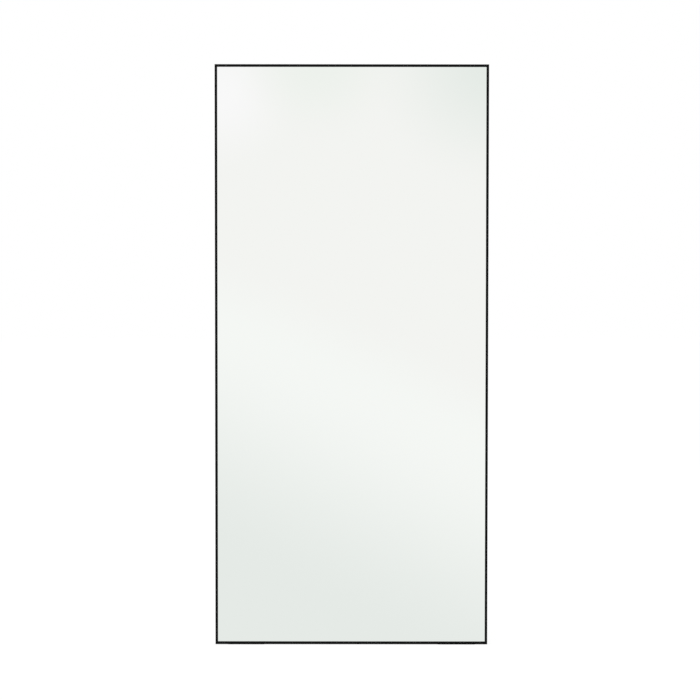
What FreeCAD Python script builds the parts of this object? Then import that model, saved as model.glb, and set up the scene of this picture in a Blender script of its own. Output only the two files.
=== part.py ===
import FreeCAD, Part
import math
import os
import re

import Sketcher

# A tall mirror in a slim black aluminium frame, made to lean on a wall.
# Four mitred rails of one extruded section hold a silvered pane behind a narrow front lip. Behind the pane a
# second, C-shaped channel opens to the rear: it holds the corner angles, the hangers and the wall bumpers.
#
# Frame of the model: +Z up, front towards -Y, +X to the right of someone looking into the mirror.
# The origin is on the floor, in the middle of the width and of the whole depth.
# In the notes "inward" runs from the frame's outer face to the middle of the mirror, and "rearward" is +Y.

Vector = FreeCAD.Vector
doc = FreeCAD.newDocument("leaning_floor_mirror")

# ---------------------------------------------------------------- sizes, in millimetres

SIZES = [
    ("mirror_width", 800, "outside width of the frame"),
    ("frame_height", 1700, "outside height of the frame, without the foot pads"),
    ("frame_depth", 25, "front face to rear face of a rail"),
    ("face_width", 7, "front lip, the black line seen round the mirror"),
    ("back_width", 22, "width of a rail's rear channel, outer face to inner face"),
    ("wall_thickness", 1.6, "wall of the extruded section"),
    ("slot_width", 10, "mouth of the rear channel"),
    ("edge_break", 0.5, "bevel on the long outer edges of the section"),
    ("edge_gap", 2, "space between the pane's edge and the rail's outer wall"),
    ("tape_thickness", 0.8, "foam tape between the lip and the pane"),
    ("tape_setback", 0.6, "tape edge behind the lip's inner edge"),
    ("glass_thickness", 4, "silvered float glass"),
    ("glass_arris", 0.5, "ground chamfer round both faces of the pane"),
    ("film_thickness", 0.25, "safety film on the back of the pane"),
    ("film_margin", 1, "pane left bare round the film"),
    ("board_thickness", 3, "backing board"),
    ("spring_gap", 2.5, "space behind the board for the spring clips"),
    ("block_length", 60, "setting block or edge spacer, along the rail"),
    ("block_inset", 180, "corner of the frame to the middle of a setting block or top spacer"),
    ("spacer_inset", 300, "corner of the frame to the middle of a side spacer"),
    ("clip_length", 42, "spring clip, along the rail"),
    ("clip_width", 11, "spring clip, across the rail"),
    ("clip_showing", 3.5, "part of the clip's width that stands inward of the rail"),
    ("clip_thickness", 0.5, "spring steel"),
    ("clip_play", 0.05, "crown of the clip to the channel"),
    ("clip_inset_long", 170, "corner to the first clip on an upright"),
    ("clip_inset_short", 210, "corner to the first clip on a cross rail"),
    ("angle_leg", 50, "outer corner of the frame to the end of a corner angle's leg"),
    ("angle_thickness", 3, "corner angle"),
    ("angle_play", 0.4, "side of a plate to the channel's side wall"),
    ("shim_thickness", 0.8, "shim that the set screws bear on"),
    ("plate_bevel", 2, "bevelled corners of the steel plates"),
    ("set_screw_diameter", 5, "set screw in a corner angle"),
    ("set_screw_recess", 0.5, "set screw's end below the rear face"),
    ("set_screw_inset", 35, "outer corner to the set screw of a leg"),
    ("thread_play", 0.05, "radial play between a screw and its threaded hole"),
    ("set_socket", 2.5, "set screw's hexagon, across flats"),
    ("set_socket_depth", 2.5, "set screw's hexagon, depth"),
    ("hanger_drop", 330, "top of the frame to the axis of a hanging ring"),
    ("strap_width", 11, "hanger strap"),
    ("strap_layer", 1.5, "one of the two layers of a folded strap"),
    ("strap_neck", 5.6, "ring axis to where the strap's layers meet"),
    ("strap_hole_drop", 11.2, "ring axis to the hanger screw"),
    ("strap_tail", 5.6, "hanger screw to the strap's lower end"),
    ("strap_end_round", 5, "corner radius of the strap's lower end"),
    ("ring_wire", 3, "wire of the hanging ring"),
    ("ring_play", 0.15, "radial play of the ring's bar in the strap's eye"),
    ("ring_side_gap", 0.5, "strap's side to the start of the ring's bend"),
    ("ring_corner", 2.1, "bend radius at the ring's corners, on the wire's centre"),
    ("ring_drop", 26, "ring axis to the centre of the ring's lower bar"),
    ("nut_length", 24, "sliding nut, along the rail"),
    ("nut_thickness", 3, "sliding nut"),
    ("hanger_screw_diameter", 5, "hanger screw"),
    ("hanger_hole_play", 0.3, "radial play of the hanger screw in the strap"),
    ("hanger_screw_past_nut", 1.5, "end of the hanger screw beyond the nut"),
    ("screw_head_diameter", 9.5, "hanger screw's button head"),
    ("screw_head_height", 2.75, "hanger screw's button head"),
    ("screw_head_crown", 5, "flat top of the button head"),
    ("screw_socket", 3, "hanger screw's hexagon, across flats"),
    ("screw_socket_depth", 1.6, "hanger screw's hexagon, depth"),
    ("hanger_to_wall", 1.3, "how far the bumpers stand proud of the hangers"),
    ("bumper_diameter", 16, "wall bumper's head, where it sits on the rail"),
    ("bumper_crown", 11, "wall bumper's flat face, which meets the wall"),
    ("bumper_inset", 100, "side of the frame to the middle of a bumper"),
    ("bumper_play", 0.25, "bumper's stem to the side of the slot"),
    ("stem_length", 6, "bumper's stem, in the slot and the channel"),
    ("pad_thickness", 1, "foot pad under the lower rail"),
    ("pad_length", 110, "foot pad, along the rail"),
    ("pad_setback", 3, "foot pad's long sides to the rail's faces"),
    ("pad_inset", 90, "side of the frame to the middle of a foot pad"),
    ("pad_bevel", 3, "bevelled corners of a foot pad"),
]

# Places and sizes that follow from the ones above.
PLACES = [
    ("lip_rear", "wall_thickness"),
    ("glass_front", "lip_rear + tape_thickness"),
    ("glass_rear", "glass_front + glass_thickness"),
    ("board_front", "glass_rear + film_thickness"),
    ("board_rear", "board_front + board_thickness"),
    ("base_front", "board_rear + spring_gap"),
    ("base_rear", "base_front + wall_thickness"),
    ("lips_front", "frame_depth - wall_thickness"),
    ("glass_edge", "wall_thickness + edge_gap"),
    ("slot_near", "(back_width - slot_width) / 2"),
    ("slot_far", "(back_width + slot_width) / 2"),
    ("plate_near", "wall_thickness + angle_play"),
    ("plate_far", "back_width - wall_thickness - angle_play"),
    ("plate_width", "plate_far - plate_near"),
    ("eye_radius", "ring_wire / 2 + ring_play"),
    ("loop_radius", "eye_radius + strap_layer"),
    ("strap_length", "strap_hole_drop + strap_tail"),
    ("strap_upper", "strap_layer - eye_radius"),
    ("neck_lean", "asin(loop_radius / hypot(strap_neck, strap_upper)) - atan(strap_upper / strap_neck)"),
    ("strap_meeting", "strap_neck - strap_layer * tan(neck_lean / 2)"),
    ("ring_half", "strap_width / 2 + ring_side_gap + ring_corner"),
    ("bumper_height", "2 * loop_radius + hanger_to_wall"),
    ("front_y", "-(frame_depth + bumper_height) / 2"),
    ("rear_y", "front_y + frame_depth"),
    ("bottom_z", "pad_thickness"),
    ("middle_z", "bottom_z + frame_height / 2"),
    ("top_z", "bottom_z + frame_height"),
]

ALIASES = {name: "Sizes." + name for name, _, _ in SIZES}
ALIASES.update({name: "Places." + name for name, _ in PLACES})


def full(text):
    """The expression with every size and place written with its sheet's name."""
    return re.sub(r"[a-z_]+", lambda word: ALIASES.get(word.group(), word.group()), text)


def make_sheets():
    sizes = doc.addObject("Spreadsheet::Sheet", "Sizes")
    for row, (name, number, note) in enumerate(SIZES, 1):
        sizes.set(f"A{row}", note)
        sizes.set(f"B{row}", str(number))
        sizes.setAlias(f"B{row}", name)
    doc.recompute()
    places = doc.addObject("Spreadsheet::Sheet", "Places")
    for row, (name, formula) in enumerate(PLACES, 1):
        places.set(f"B{row}", "=" + full(formula))
        places.setAlias(f"B{row}", name)
    doc.recompute()
    return sizes


sheet = make_sheets()


def value(text):
    """The number that an expression has now, to draw a sketch near its solved shape."""
    number = sheet.evalExpression(full(text))
    return float(getattr(number, "Value", number))


def bind(thing, target, text):
    thing.setExpression(target, full(text))


# ---------------------------------------------------------------- sketches and features


def new_body(label):
    body = doc.addObject("PartDesign::Body", label)
    body.Label = label
    return body


def place(thing, x="0", y="0", z="0", turn=0, laid_rearward=False):
    """Turns a piece about Y, in degrees, or lays one that stands up down on its back, and binds where its own
    origin goes."""
    turned = FreeCAD.Rotation(Vector(0, 1, 0), turn)
    laid = FreeCAD.Rotation(Vector(1, 0, 0), -90)
    thing.Placement = FreeCAD.Placement(Vector(), laid if laid_rearward else turned)
    bind(thing, "Placement.Base.x", x)
    bind(thing, "Placement.Base.y", y)
    bind(thing, "Placement.Base.z", z)


def new_sketch(body, name, plane, depth="0"):
    """A sketch on one of the body's own planes. XZ sketches lie at depth rearward of it, the others at depth
    along the plane's normal."""
    sketch = body.newObject("Sketcher::SketchObject", name)
    origin_plane = next(part for part in body.Origin.OriginFeatures if part.Role == plane + "_Plane")
    sketch.AttachmentSupport = [(origin_plane, "")]
    sketch.MapMode = "FlatFace"
    bind(sketch, "AttachmentOffset.Base.z", f"-({depth})" if plane == "XZ" else depth)
    return sketch


def fix(sketch, kind, geometry, point, text, name):
    """Adds a dimension and binds it to an expression."""
    arguments = (kind, geometry, value(text)) if point is None else (kind, geometry, point, value(text))
    index = sketch.addConstraint(Sketcher.Constraint(*arguments))
    sketch.renameConstraint(index, name)
    bind(sketch, "Constraints." + name, text)


START, END, CENTRE = 1, 2, 3


def fix_point(sketch, geometry, point, x, y, name):
    fix(sketch, "DistanceX", geometry, point, x, name + "_x")
    fix(sketch, "DistanceY", geometry, point, y, name + "_y")


def circle(sketch, x, y, radius, name="circle"):
    shape = Part.Circle(Vector(value(x), value(y), 0), Vector(0, 0, 1), value(radius))
    geometry = sketch.addGeometry(shape, False)
    fix_point(sketch, geometry, CENTRE, x, y, name)
    fix(sketch, "Radius", geometry, None, radius, name + "_radius")


def rounded_corner(before, corner, after, radius):
    """Tangent points, centre and end angles of the arc that rounds one corner of an outline."""
    back = (before - corner).normalize()
    ahead = (after - corner).normalize()
    half = math.acos(max(-1.0, min(1.0, back.dot(ahead)))) / 2
    reach = radius / math.tan(half)
    centre = corner + (back + ahead).normalize() * (radius / math.sin(half))
    arrive = corner + back * reach
    leave = corner + ahead * reach
    turns_left = (corner - before).cross(after - corner).z > 0
    first, last = (arrive, leave) if turns_left else (leave, arrive)
    angles = [math.atan2((p - centre).y, (p - centre).x) for p in (first, last)]
    return arrive, leave, centre, angles, turns_left


def outline(sketch, corners, rounds=None, name="corner"):
    """A closed outline of straight sides. Each corner is a pair of expressions, and rounds gives the radius of
    each corner that is rounded."""
    rounds = rounds or {}
    points = [Vector(value(x), value(y), 0) for x, y in corners]
    count = len(points)
    bends = {}
    for i, radius in rounds.items():
        bends[i] = rounded_corner(points[i - 1], points[i], points[(i + 1) % count], value(radius))
    sides = []
    for i in range(count):
        begin = bends[i][1] if i in bends else points[i]
        j = (i + 1) % count
        finish = bends[j][0] if j in bends else points[j]
        sides.append(sketch.addGeometry(Part.LineSegment(begin, finish), False))
    for i, (x, y) in enumerate(corners):
        label = f"{name}_{i}"
        arriving, leaving = sides[i - 1], sides[i]
        if i not in bends:
            sketch.addConstraint(Sketcher.Constraint("Coincident", arriving, END, leaving, START))
            fix_point(sketch, leaving, START, x, y, label)
            continue
        _, _, centre, (first, last), turns_left = bends[i]
        arc_shape = Part.ArcOfCircle(Part.Circle(centre, Vector(0, 0, 1), value(rounds[i])), first, last)
        arc = sketch.addGeometry(arc_shape, False)
        apex = sketch.addGeometry(Part.Point(points[i]), True)
        fix_point(sketch, apex, START, x, y, label)
        fix(sketch, "Radius", arc, None, rounds[i], label + "_radius")
        from_side, to_side = (START, END) if turns_left else (END, START)
        sketch.addConstraint(Sketcher.Constraint("PointOnObject", apex, START, arriving))
        sketch.addConstraint(Sketcher.Constraint("PointOnObject", apex, START, leaving))
        sketch.addConstraint(Sketcher.Constraint("Tangent", arriving, END, arc, from_side))
        sketch.addConstraint(Sketcher.Constraint("Tangent", arc, to_side, leaving, START))


def rectangle(left, low, right, high):
    return [(left, low), (right, low), (right, high), (left, high)]


def bevelled(corners, size, picked=None):
    """The same outline with corners cut off: all of them, or those picked. Its sides run along the axes."""
    points = [Vector(value(x), value(y), 0) for x, y in corners]
    result = []
    for i, (x, y) in enumerate(corners):
        if picked is not None and i not in picked:
            result.append((x, y))
            continue
        for neighbour in (i - 1, (i + 1) % len(corners)):
            step = (points[neighbour] - points[i]).normalize()
            result.append((f"{x} + {round(step.x)} * {size}", f"{y} + {round(step.y)} * {size}"))
    return result


def pad(body, sketch, length, both_ways=False):
    """Thickens a sketch. An XZ sketch grows rearward and the others along their normal, unless both ways."""
    feature = body.newObject("PartDesign::Pad", sketch.Name + "_pad")
    feature.Profile = sketch
    bind(feature, "Length", length)
    feature.Midplane = both_ways
    doc.recompute()
    grows_forward = sketch.getGlobalPlacement().Rotation.multVec(Vector(0, 0, 1)).y < -0.5
    feature.Reversed = grows_forward and not both_ways
    doc.recompute()
    return feature


def cut(body, sketch, depth=None):
    """Cuts a sketch out of the body: right through, or to a depth on the side where the body lies."""
    before = body.Shape.Volume
    feature = body.newObject("PartDesign::Pocket", sketch.Name + "_cut")
    feature.Profile = sketch
    if depth is None:
        feature.Type = "ThroughAll"
        feature.Midplane = True
    else:
        feature.Type = "Length"
        bind(feature, "Length", depth)
    doc.recompute()
    if abs(feature.Shape.Volume - before) < 1e-9:
        feature.Reversed = True
        doc.recompute()
    if feature.Shape.Volume >= before:
        raise RuntimeError(feature.Name + " removes nothing")
    return feature


def dress(body, kind, edges, size, name):
    """A Fillet or Chamfer on the edges that the test picks."""
    base = body.Tip
    names = [f"Edge{i}" for i, edge in enumerate(base.Shape.Edges, 1) if edges(edge)]
    if not names:
        raise RuntimeError(name + " found no edge")
    feature = body.newObject("PartDesign::" + kind, name)
    feature.Base = (base, names)
    bind(feature, "Radius" if kind == "Fillet" else "Size", size)
    doc.recompute()
    return feature


def revolve(body, sketch):
    """Turns a sketch once round its own vertical axis."""
    feature = body.newObject("PartDesign::Revolution", sketch.Name + "_turned")
    feature.Profile = sketch
    feature.ReferenceAxis = (sketch, ["V_Axis"])
    feature.Angle = 360
    doc.recompute()
    return feature


def hexagon(sketch, x, y, across_flats):
    """A hexagon socket's outline, with two flats parallel to the sketch's X axis."""
    spans = [(1, 0), (0.5, 0.5), (-0.5, 0.5), (-1, 0), (-0.5, -0.5), (0.5, -0.5)]
    corners = [(f"{x} + {a} * {across_flats} / sqrt(3)", f"{y} + {b} * {across_flats}") for a, b in spans]
    outline(sketch, corners, name="flat")


def along(edge, axis):
    """True for a straight edge that runs along that axis."""
    if not isinstance(edge.Curve, Part.Line):
        return False
    return abs(edge.tangentAt(edge.FirstParameter).dot(axis)) > 0.999


def group(label, pieces):
    compound = doc.addObject("Part::Compound", label)
    compound.Label = label
    compound.Links = pieces
    return compound


def copy_of(piece, name, x="0", y="0", z="0", turn=0, laid_rearward=False):
    """Another of the same piece, in its own place."""
    link = doc.addObject("App::Link", name)
    link.LinkedObject = piece
    link.LinkTransform = False
    place(link, x, y, z, turn, laid_rearward)
    return link


# ---------------------------------------------------------------- the frame's rails

ALL_CORNERS = [("left_bottom", 0), ("right_bottom", -90), ("right_top", 180), ("left_top", 90)]
SIDES = [("left", "-"), ("right", "")]
MITRE_OVERCUT = "back_width"


def rail(label, length):
    """One rail lying along X, with its outer face down and its front face at Y = 0."""
    body = new_body(label)
    section = new_sketch(body, label + "_section", "YZ")
    corners = [
        ("0", "0"),
        ("frame_depth", "0"),
        ("frame_depth", "slot_near"),
        ("lips_front", "slot_near"),
        ("lips_front", "wall_thickness"),
        ("base_rear", "wall_thickness"),
        ("base_rear", "back_width - wall_thickness"),
        ("lips_front", "back_width - wall_thickness"),
        ("lips_front", "slot_far"),
        ("frame_depth", "slot_far"),
        ("frame_depth", "back_width"),
        ("base_front", "back_width"),
        ("base_front", "wall_thickness"),
        ("lip_rear", "wall_thickness"),
        ("lip_rear", "face_width"),
        ("0", "face_width"),
    ]
    long_edges = [0, 1, 10, 11, 15]
    outline(section, bevelled(corners, "edge_break", long_edges))
    pad(body, section, length, both_ways=True)
    mitres = new_sketch(body, label + "_mitres", "XZ")
    for name, sign in SIDES:
        end = f"({length} / 2)"
        triangle = [
            (f"{sign}({end} + {MITRE_OVERCUT})", f"-{MITRE_OVERCUT}"),
            (f"{sign}({end} + {MITRE_OVERCUT})", f"back_width + {MITRE_OVERCUT}"),
            (f"{sign}({end} - back_width - {MITRE_OVERCUT})", f"back_width + {MITRE_OVERCUT}"),
        ]
        outline(mitres, triangle, name=name)
    cut(body, mitres)
    return body


def make_rails():
    bottom = rail("rail_bottom", "mirror_width")
    place(bottom, y="front_y", z="bottom_z")
    top = rail("rail_top", "mirror_width")
    place(top, y="front_y", z="top_z", turn=180)
    left = rail("stile_left", "frame_height")
    place(left, x="-mirror_width / 2", y="front_y", z="middle_z", turn=90)
    right = rail("stile_right", "frame_height")
    place(right, x="mirror_width / 2", y="front_y", z="middle_z", turn=-90)
    return [bottom, top, left, right]


# ---------------------------------------------------------------- what the frame holds


def sheet_of(label, front, thickness, margin, arris=None):
    """A flat rectangular sheet, centred on the mirror, its edge at a margin inward of the frame's outer face."""
    body = new_body(label)
    face = new_sketch(body, label + "_face", "XZ")
    half_width = f"(mirror_width / 2 - ({margin}))"
    half_height = f"(frame_height / 2 - ({margin}))"
    outline(face, rectangle("-" + half_width, "-" + half_height, half_width, half_height))
    pad(body, face, thickness)
    if arris:
        dress(body, "Chamfer", lambda edge: not along(edge, Vector(0, 1, 0)), arris, label + "_arris")
    place(body, y=f"front_y + {front}", z="middle_z")
    return body


def box(name, length, depth, height):
    """A plain block, centred on X, standing on its own origin and running rearward from it."""
    body = new_body(name)
    plan = new_sketch(body, name + "_plan", "XY")
    outline(plan, rectangle(f"-({length}) / 2", "0", f"({length}) / 2", depth))
    pad(body, plan, height)
    return body


def make_tapes():
    """Foam tape on the back of the lip: long strips up the sides, short ones between them."""
    width = "(face_width - tape_setback - glass_edge)"
    upright = box("tape_upright", "frame_height - 2 * glass_edge", "tape_thickness", width)
    cross = box("tape_cross", f"mirror_width - 2 * glass_edge - 2 * {width}", "tape_thickness", width)
    front = "front_y + lip_rear"
    strips = [
        copy_of(cross, "tape_bottom", "0", front, "bottom_z + glass_edge"),
        copy_of(cross, "tape_top", "0", front, "top_z - glass_edge", 180),
        copy_of(upright, "tape_left", "-mirror_width / 2 + glass_edge", front, "middle_z", 90),
        copy_of(upright, "tape_right", "mirror_width / 2 - glass_edge", front, "middle_z", -90),
    ]
    return group("glazing_tape", strips)


def make_blocks():
    """Rubber blocks that carry the pane's weight, and the spacers that keep its other edges off the rails."""
    block = box("block", "block_length", "glass_thickness", "edge_gap")
    front = "front_y + glass_front"
    blocks = []
    spacers = []
    for side, sign in SIDES:
        x = f"{sign}(mirror_width / 2 - block_inset)"
        blocks.append(copy_of(block, "block_" + side, x, front, "bottom_z + wall_thickness"))
        spacers.append(copy_of(block, "spacer_top_" + side, x, front, "top_z - wall_thickness", 180))
        x = f"{sign}(mirror_width / 2 - wall_thickness)"
        turn = 90 if side == "left" else -90
        for level, z in (("low", "bottom_z + spacer_inset"), ("high", "top_z - spacer_inset")):
            spacers.append(copy_of(block, f"spacer_{side}_{level}", x, front, z, turn))
    return [group("setting_blocks", blocks), group("edge_spacers", spacers)]


def make_spring_clip():
    """A bowed strip of spring steel. Its ends bear on the board and its crown on the channel's front wall. It
    lies along X, its wide side across Z, and rises rearward from Y = 0."""
    body = new_body("spring_clip")
    bow = new_sketch(body, "clip_bow", "XY")
    rise = "(spring_gap - clip_thickness - clip_play)"
    radius = f"((clip_length * clip_length / 4 + {rise} * {rise}) / (2 * {rise}))"
    half = value("clip_length / 2")
    size = value(radius)
    lean = math.asin(half / size)
    arcs = []
    for name, level in (("under", "0"), ("over", "clip_thickness")):
        centre = Vector(0, value(f"{level} + {rise} - {radius}"), 0)
        shape = Part.ArcOfCircle(
            Part.Circle(centre, Vector(0, 0, 1), size), math.pi / 2 - lean, math.pi / 2 + lean
        )
        arc = bow.addGeometry(shape, False)
        fix_point(bow, arc, CENTRE, "0", f"{level} + {rise} - {radius}", name)
        fix(bow, "Radius", arc, None, radius, name + "_radius")
        arcs.append(arc)
    under, over = arcs
    for name, end, x in (("right", START, half), ("left", END, -half)):
        edge = Part.LineSegment(Vector(x, 0, 0), Vector(x, value("clip_thickness"), 0))
        side = bow.addGeometry(edge, False)
        bow.addConstraint(Sketcher.Constraint("Coincident", side, START, under, end))
        bow.addConstraint(Sketcher.Constraint("Coincident", side, END, over, end))
        sign = "" if x > 0 else "-"
        fix(bow, "DistanceX", under, end, f"{sign}clip_length / 2", name + "_end")
        fix(bow, "DistanceX", over, end, f"{sign}clip_length / 2", name + "_top")
    pad(body, bow, "clip_width")
    return body


CLIPS_ON_UPRIGHT = 4
CLIPS_ON_CROSS_RAIL = 2


def make_spring_clips():
    clip = make_spring_clip()
    y = "front_y + board_rear"
    inward = "(back_width + clip_showing - clip_width)"
    clips = []
    for i in range(CLIPS_ON_UPRIGHT):
        share = i / (CLIPS_ON_UPRIGHT - 1)
        z = f"bottom_z + clip_inset_long + {share} * (frame_height - 2 * clip_inset_long)"
        clips.append(copy_of(clip, f"clip_left_{i}", f"-mirror_width / 2 + {inward}", y, z, 90))
        clips.append(copy_of(clip, f"clip_right_{i}", f"mirror_width / 2 - {inward}", y, z, -90))
    for i in range(CLIPS_ON_CROSS_RAIL):
        share = i / (CLIPS_ON_CROSS_RAIL - 1)
        x = f"-mirror_width / 2 + clip_inset_short + {share} * (mirror_width - 2 * clip_inset_short)"
        clips.append(copy_of(clip, f"clip_bottom_{i}", x, y, f"bottom_z + {inward}"))
        clips.append(copy_of(clip, f"clip_top_{i}", x, y, f"top_z - {inward}", 180))
    return group("spring_clips", clips)


# ---------------------------------------------------------------- corner joints


def corner_place(thing, corner, turn):
    """Puts a piece that is drawn for the lower left corner at another corner of the frame."""
    x = "-mirror_width / 2" if corner.startswith("left") else "mirror_width / 2"
    z = "bottom_z" if corner.endswith("bottom") else "top_z"
    place(thing, x, "front_y", z, turn)


SET_SCREW_SPOTS = [
    ("set_screw_inset", "back_width / 2"),
    ("back_width / 2", "set_screw_inset"),
]


def corner_plate(label, front, thickness, holes):
    """An L-shaped plate in the channel, drawn for the lower left corner."""
    body = new_body(label)
    face = new_sketch(body, label + "_face", "XZ", front)
    corners = [
        ("plate_near", "plate_near"),
        ("angle_leg", "plate_near"),
        ("angle_leg", "plate_far"),
        ("plate_far", "plate_far"),
        ("plate_far", "angle_leg"),
        ("plate_near", "angle_leg"),
    ]
    outline(face, bevelled(corners, "plate_bevel"))
    if holes:
        for i, (x, z) in enumerate(SET_SCREW_SPOTS):
            circle(face, x, z, "set_screw_diameter / 2 + thread_play", f"screw_{i}")
    pad(body, face, thickness)
    return body


def make_set_screw():
    """A set screw on its own axis: it starts at the shim and runs rearward, with its socket at the rear end."""
    body = new_body("set_screw")
    length = "(lips_front + wall_thickness - set_screw_recess - base_rear - shim_thickness)"
    shank = new_sketch(body, "set_screw_shank", "XZ")
    circle(shank, "0", "0", "set_screw_diameter / 2")
    pad(body, shank, length)
    socket = new_sketch(body, "set_screw_socket", "XZ", f"{length} - set_socket_depth")
    hexagon(socket, "0", "0", "set_socket")
    cut(body, socket, "set_socket_depth")
    return body


def make_corner_joints():
    pieces = []
    screws = []
    screw = make_set_screw()
    for corner, turn in ALL_CORNERS:
        angle = corner_plate(
            "corner_angle_" + corner, "lips_front - angle_thickness", "angle_thickness", holes=True
        )
        corner_place(angle, corner, turn)
        shim = corner_plate("corner_shim_" + corner, "base_rear", "shim_thickness", holes=False)
        corner_place(shim, corner, turn)
        pieces += [angle, shim]
        x_out, z_out = corner.split("_")
        for i, (x, z) in enumerate(SET_SCREW_SPOTS):
            x = f"-mirror_width / 2 + {x}" if x_out == "left" else f"mirror_width / 2 - ({x})"
            z = f"bottom_z + {z}" if z_out == "bottom" else f"top_z - ({z})"
            y = "front_y + base_rear + shim_thickness"
            screws.append(copy_of(screw, f"set_screw_{corner}_{i}", x, y, z))
    return [*pieces, group("corner_set_screws", screws)]


# ---------------------------------------------------------------- hangers

# A hanger's own origin is on the ring's axis. The rail's rear face is one loop_radius in front of it.


def folded_outline(sketch, radius, near, far, low):
    """An arc over the ring's axis. From its near side a straight run goes down, from its far side a slope that
    leans in to the far line, and a last straight run down that line. A closed end joins the two at the bottom."""
    size, x_near, x_far, z_low = (value(text) for text in (radius, near, far, low))
    z_bend = value("-strap_neck")
    to_bend = math.atan2(z_bend, x_far)
    touch = to_bend + math.acos(size / math.hypot(x_far, z_bend))
    axis = Vector(0, 0, 1)
    arc = sketch.addGeometry(Part.ArcOfCircle(Part.Circle(Vector(), axis, size), touch, math.pi), False)
    spots = [
        Vector(size * math.cos(touch), size * math.sin(touch), 0),
        Vector(x_far, z_bend, 0),
        Vector(x_far, z_low, 0),
        Vector(x_near, z_low, 0),
        Vector(x_near, 0, 0),
    ]
    slope, far_side, end, near_side = [
        sketch.addGeometry(Part.LineSegment(a, b), False) for a, b in zip(spots, spots[1:])
    ]
    sketch.addConstraint(Sketcher.Constraint("Coincident", arc, CENTRE, -1, 1))
    sketch.addConstraint(Sketcher.Constraint("Tangent", arc, START, slope, START))
    sketch.addConstraint(Sketcher.Constraint("Tangent", near_side, END, arc, END))
    for a, b in ((slope, far_side), (far_side, end), (end, near_side)):
        sketch.addConstraint(Sketcher.Constraint("Coincident", a, END, b, START))
    sketch.addConstraint(Sketcher.Constraint("Vertical", near_side))
    fix(sketch, "Radius", arc, None, radius, "radius")
    fix_point(sketch, far_side, START, far, "-strap_neck", "bend")
    fix_point(sketch, end, START, far, low, "far_foot")
    fix(sketch, "DistanceY", near_side, START, low, "near_foot")


def make_strap(label):
    """A strap folded round the ring's bar: the eye at the top, both layers screwed down below it."""
    body = new_body(label)
    side = new_sketch(body, label + "_side", "YZ")
    folded_outline(side, "loop_radius", "-loop_radius", "strap_upper", "-strap_length")
    pad(body, side, "strap_width", both_ways=True)
    eye = new_sketch(body, label + "_eye", "YZ")
    teardrop(eye, "eye_radius", "-strap_meeting")
    cut(body, eye)
    hole = new_sketch(body, label + "_hole", "XZ")
    circle(hole, "0", "-strap_hole_drop", "hanger_screw_diameter / 2 + hanger_hole_play")
    cut(body, hole)
    below_screw = value("-strap_hole_drop")
    dress(
        body,
        "Fillet",
        lambda edge: along(edge, Vector(0, 1, 0)) and edge.CenterOfMass.z < below_screw,
        "strap_end_round",
        label + "_round_end",
    )
    return body


def teardrop(sketch, radius, point):
    """The hollow inside the fold: an arc over the ring's axis, a straight side on the strap's rear layer, and a
    side that leans in to meet it at a point."""
    size, low = value(radius), value(point)
    touch = math.atan2(low, -size) + math.acos(size / math.hypot(size, low))
    arc = sketch.addGeometry(
        Part.ArcOfCircle(Part.Circle(Vector(), Vector(0, 0, 1), size), touch, math.pi), False
    )
    tip = Vector(-size, low, 0)
    slope_start = Vector(size * math.cos(touch), size * math.sin(touch), 0)
    slope = sketch.addGeometry(Part.LineSegment(slope_start, tip), False)
    straight = sketch.addGeometry(Part.LineSegment(tip, Vector(-size, 0, 0)), False)
    sketch.addConstraint(Sketcher.Constraint("Coincident", arc, CENTRE, -1, 1))
    sketch.addConstraint(Sketcher.Constraint("Tangent", arc, START, slope, START))
    sketch.addConstraint(Sketcher.Constraint("Tangent", straight, END, arc, END))
    sketch.addConstraint(Sketcher.Constraint("Coincident", slope, END, straight, START))
    sketch.addConstraint(Sketcher.Constraint("Vertical", straight))
    fix(sketch, "Radius", arc, None, radius, "radius")
    fix(sketch, "DistanceY", straight, START, point, "tip")


def make_ring(label):
    """A closed loop of round wire. Its upper bar lies on the axis, in the strap's eye."""
    body = new_body(label)
    path = new_sketch(body, label + "_path", "XZ")
    corners = rectangle("-ring_half", "-ring_drop", "ring_half", "0")
    outline(path, corners, {i: "ring_corner" for i in range(len(corners))})
    wire = new_sketch(body, label + "_wire", "YZ")
    circle(wire, "0", "0", "ring_wire / 2")
    doc.recompute()
    ring = body.newObject("PartDesign::AdditivePipe", label + "_bent")
    ring.Profile = wire
    ring.Spine = path
    doc.recompute()
    return body


def make_nut(label):
    """A sliding nut inside the channel, pressed against its lips."""
    body = new_body(label)
    face = new_sketch(body, label + "_face", "XZ", "-loop_radius - wall_thickness - nut_thickness")
    half = "plate_width / 2"
    low, high = "-strap_hole_drop - nut_length / 2", "-strap_hole_drop + nut_length / 2"
    outline(face, bevelled(rectangle("-" + half, low, half, high), "plate_bevel"))
    circle(face, "0", "-strap_hole_drop", "hanger_screw_diameter / 2 + thread_play")
    pad(body, face, "nut_thickness")
    return body


def make_hanger_screw(label):
    """A button head screw, turned on its own axis. It is drawn standing, head up, and laid rearward after."""
    body = new_body(label)
    half = new_sketch(body, label + "_half", "XZ")
    under_head = "-(2 * strap_layer + wall_thickness + nut_thickness + hanger_screw_past_nut)"
    shank, head = "hanger_screw_diameter / 2", "screw_head_diameter / 2"
    corners = [
        ("0", under_head),
        (shank, under_head),
        (shank, "0"),
        (head, "0"),
        ("screw_head_crown / 2", "screw_head_height"),
        ("0", "screw_head_height"),
    ]
    outline(half, corners)
    revolve(body, half)
    socket = new_sketch(body, label + "_socket", "XY", "screw_head_height - screw_socket_depth")
    hexagon(socket, "0", "0", "screw_socket")
    cut(body, socket, "screw_socket_depth")
    return body


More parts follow.
